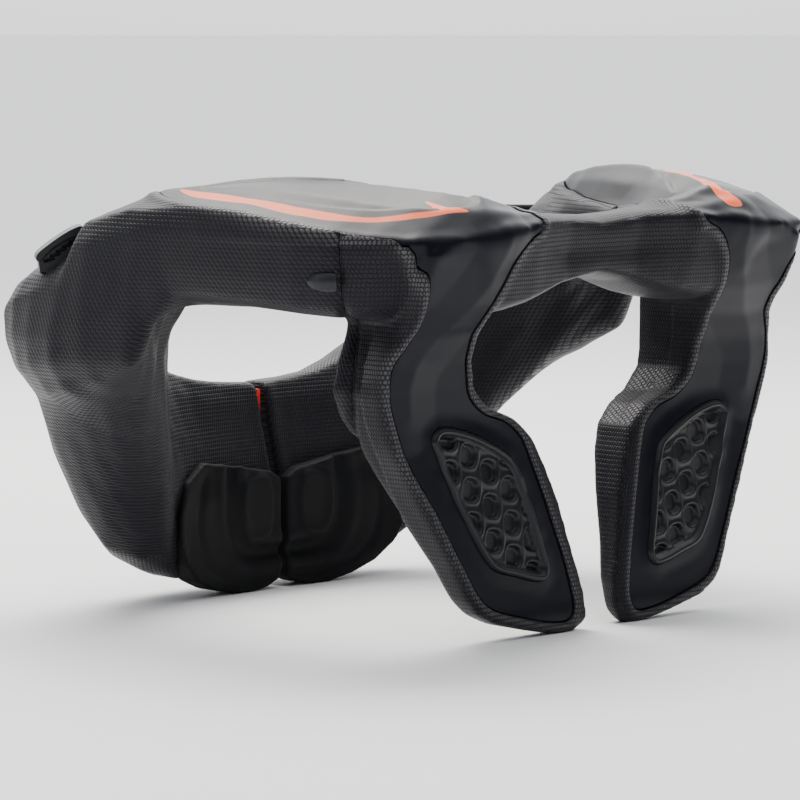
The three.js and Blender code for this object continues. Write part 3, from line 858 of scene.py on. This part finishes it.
def make_clasp():
    """A smooth plate over a ribbed block, with a lip along its foot."""
    clasp = prism("buckle_left", np.array(CLASP_BODY, float), *BODY_SIDES, on_clasp)
    boolean(clasp, prism("plate", rounded(CLASP_PLATE, 100, 100), *PLATE_SIDES, on_clasp), "UNION")
    boolean(clasp, prism("lip", np.array(CLASP_LIP, float), *LIP_SIDES, on_clasp), "UNION")
    for i in range(SLOT_COUNT):
        slot = SLOT_FIRST + i * SLOT_STEP + SLOT_OUTLINE
        cut(clasp, prism("slot", slot, *SLOT_SIDES, on_clasp))
    return soften(clasp, *CLASP_MESH)


def make_tab():
    """The smooth oval tab on the outer band."""
    return soften(joined_copy("tab_left", ["side_tab_left"]), *TAB_MESH)


def make_link():
    """The elastic link, set back in the slot between the rear halves."""
    link = joined_copy("elastic_link", ["rear_link"])
    points = get_points(link.data)
    points[:, 1] = np.maximum(points[:, 1], LINK_FRONT)
    set_points(link.data, points)
    return link


def mark_shell(obj, outlines):
    """Marks the stripes of a cover, and the sunk field of its top plate."""
    points = get_points(obj.data)
    top = points[:, 2] > PLATE_FLOOR
    inside = []
    for outline in (*outlines, FIELD_OUTLINE):
        loop = smooth_loop(outline, COLLAR_RADIUS, COLLAR_RADIUS)
        inside.append(np.where(top, distance_inside(loop, seen_from_above(points)), NOT_ON_TOP))
    mark(obj, "stripe", np.max(inside[:-1], 0))
    mark(obj, "field", inside[-1])


# Materials

class Nodes:
    """A short way to make a material's nodes."""

    def __init__(self, name):
        self.material = bpy.data.materials.new(name)
        self.material.use_nodes = True
        self.tree = self.material.node_tree
        self.shader = self.tree.nodes["Principled BSDF"]
        self.coordinates = self.add("ShaderNodeTexCoord").outputs["Object"]

    def add(self, kind, **values):
        node = self.tree.nodes.new(kind)
        for key, value in values.items():
            setattr(node, key, value)
        return node

    def link(self, value, socket):
        """Links an output to a socket, or sets the socket to a plain value."""
        if isinstance(value, bpy.types.NodeSocket):
            self.tree.links.new(value, socket)
        elif value is not None:
            socket.default_value = value

    def math(self, operation, a, b=None):
        node = self.add("ShaderNodeMath", operation=operation)
        self.link(a, node.inputs[0])
        self.link(b, node.inputs[1])
        return node.outputs[0]

    def parts(self, vector):
        """The three numbers of a vector."""
        node = self.add("ShaderNodeSeparateXYZ")
        self.link(vector, node.inputs[0])
        return node.outputs

    def noise(self, scale, detail=2.0, roughness=0.5):
        node = self.add("ShaderNodeTexNoise")
        self.link(self.coordinates, node.inputs["Vector"])
        node.inputs["Scale"].default_value = scale
        node.inputs["Detail"].default_value = detail
        node.inputs["Roughness"].default_value = roughness
        return node.outputs["Fac"]

    def ramp(self, value, low, high, low_out=0.0, high_out=1.0):
        """A soft ramp from one number to another, while the value goes from low to high."""
        node = self.add("ShaderNodeMapRange", interpolation_type="SMOOTHSTEP")
        for item, name in ((value, "Value"), (low, "From Min"), (high, "From Max"),
                           (low_out, "To Min"), (high_out, "To Max")):
            self.link(item, node.inputs[name])
        return node.outputs["Result"]

    def mix(self, factor, a, b):
        """A colour between two others. Inputs 6 and 7 and output 2 are the node's colours."""
        node = self.add("ShaderNodeMix", data_type="RGBA")
        for value, socket in ((factor, 0), (a, 6), (b, 7)):
            self.link(value, node.inputs[socket])
        return node.outputs[2]

    def between(self, factor, a, b):
        """A number between two others. Inputs 2 and 3 and output 0 are the node's numbers."""
        node = self.add("ShaderNodeMix", data_type="FLOAT")
        for value, socket in ((factor, 0), (a, 2), (b, 3)):
            self.link(value, node.inputs[socket])
        return node.outputs[0]

    def attribute(self, name):
        return self.add("ShaderNodeAttribute", attribute_name=name).outputs["Fac"]

    def geometry(self, name):
        return self.add("ShaderNodeNewGeometry").outputs[name]

    def bump(self, height, distance, strength, normal=None):
        node = self.add("ShaderNodeBump")
        node.inputs["Distance"].default_value = distance
        node.inputs["Strength"].default_value = strength
        self.link(height, node.inputs["Height"])
        self.link(normal, node.inputs["Normal"])
        return node.outputs["Normal"]

    def finish(self, **values):
        """Links or sets the shader's own sockets, and gives the material."""
        names = {"color": "Base Color", "roughness": "Roughness", "normal": "Normal",
                 "sheen": "Sheen Weight", "sheen_roughness": "Sheen Roughness",
                 "specular": "Specular IOR Level"}
        for key, value in values.items():
            self.link(value, self.shader.inputs[names[key]])
        return self.material


def scale_field(nodes, u, v, pitch_u, pitch_v, slant):
    """Rows of small raised scales, each row half a step along from the one below."""
    row = nodes.math("DIVIDE", v, pitch_v)
    whole = nodes.math("FLOOR", row)
    odd = nodes.math("MULTIPLY", nodes.math("MODULO", whole, 2.0), 0.5)
    part_v = nodes.math("SUBTRACT", nodes.math("SUBTRACT", row, whole), 0.5)
    column = nodes.math("ADD", nodes.math("DIVIDE", u, pitch_u), odd)
    column = nodes.math("ADD", column, nodes.math("MULTIPLY", part_v, slant))
    part_u = nodes.math("SUBTRACT", nodes.math("FRACT", column), 0.5)
    square_u = nodes.math("MULTIPLY", nodes.math("MULTIPLY", part_u, part_u), 5.2)
    square_v = nodes.math("MULTIPLY", nodes.math("MULTIPLY", part_v, part_v), 4.4)
    dome = nodes.math("SUBTRACT", nodes.math("SUBTRACT", 1.0, square_u), square_v)
    return nodes.ramp(dome, -0.1, 0.55)


def ring_scales(nodes, x, y, z, steep):
    """Scales that follow the collar round the neck."""
    total = nodes.math("ADD", nodes.math("MULTIPLY", x, x), nodes.math("MULTIPLY", y, y))
    reach = nodes.math("POWER", total, 0.5)
    angle = nodes.math("ARCTAN2", x, nodes.math("MULTIPLY", y, -1.0))
    u = nodes.math("MULTIPLY", angle, RING_RADIUS)
    side = scale_field(nodes, u, z, *RING_SCALES)
    top = scale_field(nodes, u, reach, *RING_SCALES)
    return nodes.between(steep, side, top)


def leg_scales(nodes, x, y, z, steep, sideways):
    """Scales that run straight up the legs."""
    front = scale_field(nodes, x, z, *LEG_SCALES)
    flank = scale_field(nodes, y, z, *LEG_SCALES)
    top = scale_field(nodes, x, y, *LEG_TOP_SCALES)
    return nodes.between(steep, nodes.between(sideways, front, flank), top)


def textile_material(name, ring):
    """Coated knit with small embossed scales, with painted shade in the grooves between them and a
    painted highlight on the scale tops along the rolled edge. Round the ring it follows the collar, else
    the leg.
    """
    nodes = Nodes(name)
    x, y, z = nodes.parts(nodes.coordinates)
    y = nodes.math("SUBTRACT", y, NECK_Y / 1000)
    facing = nodes.parts(nodes.geometry("Normal"))
    steep = nodes.ramp(nodes.math("ABSOLUTE", facing[2]), 0.7, 0.74)
    if ring:
        height = ring_scales(nodes, x, y, z, steep)
    else:
        sideways = nodes.ramp(nodes.math("ABSOLUTE", facing[0]), 0.6, 0.63)
        height = leg_scales(nodes, x, y, z, steep, sideways)
    worn = nodes.ramp(nodes.noise(38.0, 4.0), 0.3, 0.75)
    normal = nodes.bump(height, 0.00034, 0.8)
    normal = nodes.bump(nodes.noise(2600.0), 0.00008, 0.5, normal)
    # Painted shade: the colour darkens in the grooves between the scales
    color = nodes.mix(height, SCALE_GROOVE_SHADE, SCALE_TOP)
    color = nodes.mix(nodes.math("MULTIPLY", worn, 0.16), color, WORN_TEXTILE)
    # Painted highlight: the scale tops on the rolled edge are made paler
    rim = nodes.math("MULTIPLY", nodes.attribute("rim"), nodes.ramp(height, 0.25, 0.9, 0.1, 0.75))
    color = nodes.mix(rim, color, WELT_HIGHLIGHT)
    roughness = nodes.ramp(height, 0.0, 1.0, 0.6, 0.4)
    return nodes.finish(color=color, roughness=roughness, normal=normal, sheen=0.03,
                        sheen_roughness=0.5, specular=0.19)


def cover_material():
    """Satin moulded polymer with a printed stripe on the top plate, and a painted highlight along its
    sharp edges.
    """
    nodes = Nodes("cover_polymer")
    stripe = nodes.ramp(nodes.attribute("stripe"), -0.18, 0.18)
    field = nodes.ramp(nodes.attribute("field"), -0.8, 0.8)
    broad = nodes.ramp(nodes.noise(16.0, 3.0), 0.3, 0.7)
    color = nodes.mix(broad, COVER_DARK, COVER_LIGHT)
    color = nodes.mix(field, color, FIELD_COLOR)
    color = nodes.mix(stripe, color, STRIPE_COLOR)
    # Painted highlight: paler colour along the sharp convex edges
    edge = nodes.math("MULTIPLY", nodes.ramp(nodes.geometry("Pointiness"), 0.52, 0.6), 0.35)
    color = nodes.mix(edge, color, COVER_EDGE_HIGHLIGHT)
    roughness = nodes.ramp(broad, 0.0, 1.0, 0.31, 0.37)
    normal = nodes.bump(nodes.noise(3800.0, 3.0, 0.6), 0.00005, 0.7)
    return nodes.finish(color=color, roughness=roughness, normal=normal, specular=0.13)


def plain_material(name):
    """A material of one kind of colour, with broad variation, a fine grain and a painted highlight on
    its sharp edges.
    """
    dark, light, rough, grain_scale, grain_depth, specular = PLAIN_LOOKS[name]
    nodes = Nodes(name)
    broad = nodes.ramp(nodes.noise(45.0, 4.0), 0.3, 0.75)
    # Painted highlight: paler colour along the sharp convex edges
    edge = nodes.math("MULTIPLY", nodes.ramp(nodes.geometry("Pointiness"), 0.5, 0.62), 0.4)
    color = nodes.mix(broad, (*dark, 1), (*light, 1))
    color = nodes.mix(edge, color, (*(2.2 * c for c in light), 1))
    roughness = nodes.ramp(broad, 0.0, 1.0, rough - 0.04, rough + 0.04)
    normal = nodes.bump(nodes.noise(grain_scale, 3.0, 0.6), grain_depth, 0.8)
    return nodes.finish(color=color, roughness=roughness, normal=normal, specular=specular)


# Placing

def dress(obj, material, smooth=True):
    obj.data.materials.clear()
    obj.data.materials.append(material)
    obj.data.polygons.foreach_set("use_smooth", [smooth] * len(obj.data.polygons))
    obj.data.update()


def sharpen(obj, degrees):
    """Keeps the cut edges crisp while the rest is shaded smooth."""
    obj.data.set_sharp_from_angle(angle=math.radians(degrees))


def stand_in(obj, *nodes):
    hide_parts(*nodes)
    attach(obj, "root")


# Studio and camera

def make_floor():
    mesh = bpy.data.meshes.new("floor")
    corners = [(-1, -1), (1, -1), (1, 1), (-1, 1)]
    mesh.from_pydata([(FLOOR_HALF * a, FLOOR_HALF * b, 0) for a, b in corners], [], [(0, 1, 2, 3)])
    floor = bpy.data.objects.new("floor", mesh)
    bpy.context.scene.collection.objects.link(floor)
    nodes = Nodes("floor_paper")
    color = nodes.mix(nodes.noise(2.0), *FLOOR_COLORS)
    mesh.materials.append(nodes.finish(color=color, roughness=0.9, specular=0.2))


def make_light(name, place, target, size, power, color):
    data = bpy.data.lights.new(name, "AREA")
    data.shape = "RECTANGLE"
    data.size, data.size_y = size
    data.energy = power
    data.color = color
    lamp = bpy.data.objects.new(name, data)
    lamp.location = place
    lamp.rotation_euler = (Vector(target) - Vector(place)).to_track_quat("-Z", "Y").to_euler()
    bpy.context.scene.collection.objects.link(lamp)


def make_world():
    """A pale studio all round, with a brighter ceiling and a brighter wall in one direction."""
    world = bpy.data.worlds.new("studio")
    world.use_nodes = True
    tree = world.node_tree
    background = tree.nodes["Background"]
    coordinates = tree.nodes.new("ShaderNodeTexCoord")
    facing = tree.nodes.new("ShaderNodeVectorMath")
    facing.operation = "DOT_PRODUCT"
    facing.inputs[1].default_value = AHEAD
    parts = tree.nodes.new("ShaderNodeSeparateXYZ")
    total = tree.nodes.new("ShaderNodeMath")
    tree.links.new(coordinates.outputs["Generated"], facing.inputs[0])
    tree.links.new(coordinates.outputs["Generated"], parts.inputs[0])
    glows = (
        (facing.outputs["Value"], {"From Min": 0.6, "From Max": 0.97, "To Min": PALE, "To Max": BRIGHT}),
        (parts.outputs[2], {"From Min": 0.45, "From Max": 0.9, "To Min": 0, "To Max": CEILING}),
    )
    for i, (value, limits) in enumerate(glows):
        spread = tree.nodes.new("ShaderNodeMapRange")
        spread.interpolation_type = "SMOOTHSTEP"
        for name, number in limits.items():
            spread.inputs[name].default_value = number
        tree.links.new(value, spread.inputs["Value"])
        tree.links.new(spread.outputs["Result"], total.inputs[i])
    tree.links.new(total.outputs[0], background.inputs["Strength"])
    background.inputs["Color"].default_value = WORLD_COLOR
    bpy.context.scene.world = world


def make_camera():
    azimuth, elevation = math.radians(CAMERA_AZIMUTH), math.radians(CAMERA_ELEVATION)
    back = Vector((
        math.sin(azimuth) * math.cos(elevation),
        -math.cos(azimuth) * math.cos(elevation),
        math.sin(elevation),
    ))
    data = bpy.data.cameras.new("camera")
    data.lens = LENS
    data.sensor_width = SENSOR
    data.clip_end = 50
    camera = bpy.data.objects.new("camera", data)
    camera.location = Vector(CAMERA_TARGET) + back * CAMERA_DISTANCE
    camera.rotation_mode = "QUATERNION"
    camera.rotation_quaternion = (-back).to_track_quat("-Z", "Y")
    bpy.context.scene.collection.objects.link(camera)
    bpy.context.scene.camera = camera


# Making

envelope = make_envelope()
cover = make_shell(envelope)
front_body, side_body = make_pads(envelope)
remove(envelope)
insert = make_insert()
cushion = make_back_pad()
buckle = make_clasp()
tab = make_tab()
elastic = make_link()

ring_textile = textile_material("ring_textile", True)
leg_textile = textile_material("leg_textile", False)
polymer = cover_material()
rubber, fleece, plastic, red_strip = (plain_material(name) for name in PLAIN_LOOKS)

dress(front_body, leg_textile)
sharpen(front_body, 50)
stand_in(front_body, "front_pad")

# Pieces that are made twice: name, node, material, slot, sharpest smooth edge in degrees, and fill
PAIRS = [
    (side_body, "side_body", "side_pad", ring_textile, "textile", 50, 0.9),
    (cover, "cover", "shell", polymer, "cover", 40, None),
    (insert, "rubber_insert", "vent_insert", rubber, "insert", 75, None),
    (cushion, "back_cushion", "back_pad", fleece, "back_pad", 60, 0.8),
    (buckle, "buckle", "clasp", plastic, "clasp", 40, None),
    (tab, "tab", "side_tab", plastic, "clasp", 60, None),
]
for piece, name, node, material, slot, crisp, fill in PAIRS:
    other = mirrored(piece, name + "_right")
    for obj, side in ((piece, "left"), (other, "right")):
        if name == "cover":
            mark_shell(obj, STRIPES[side])
        dress(obj, material)
        sharpen(obj, crisp)
        stand_in(obj, f"{node}_{side}")

dress(elastic, red_strip, smooth=False)
stand_in(elastic, "rear_link")

make_floor()
make_world()
for name, values in LIGHTS.items():
    make_light(name, *values)
make_camera()
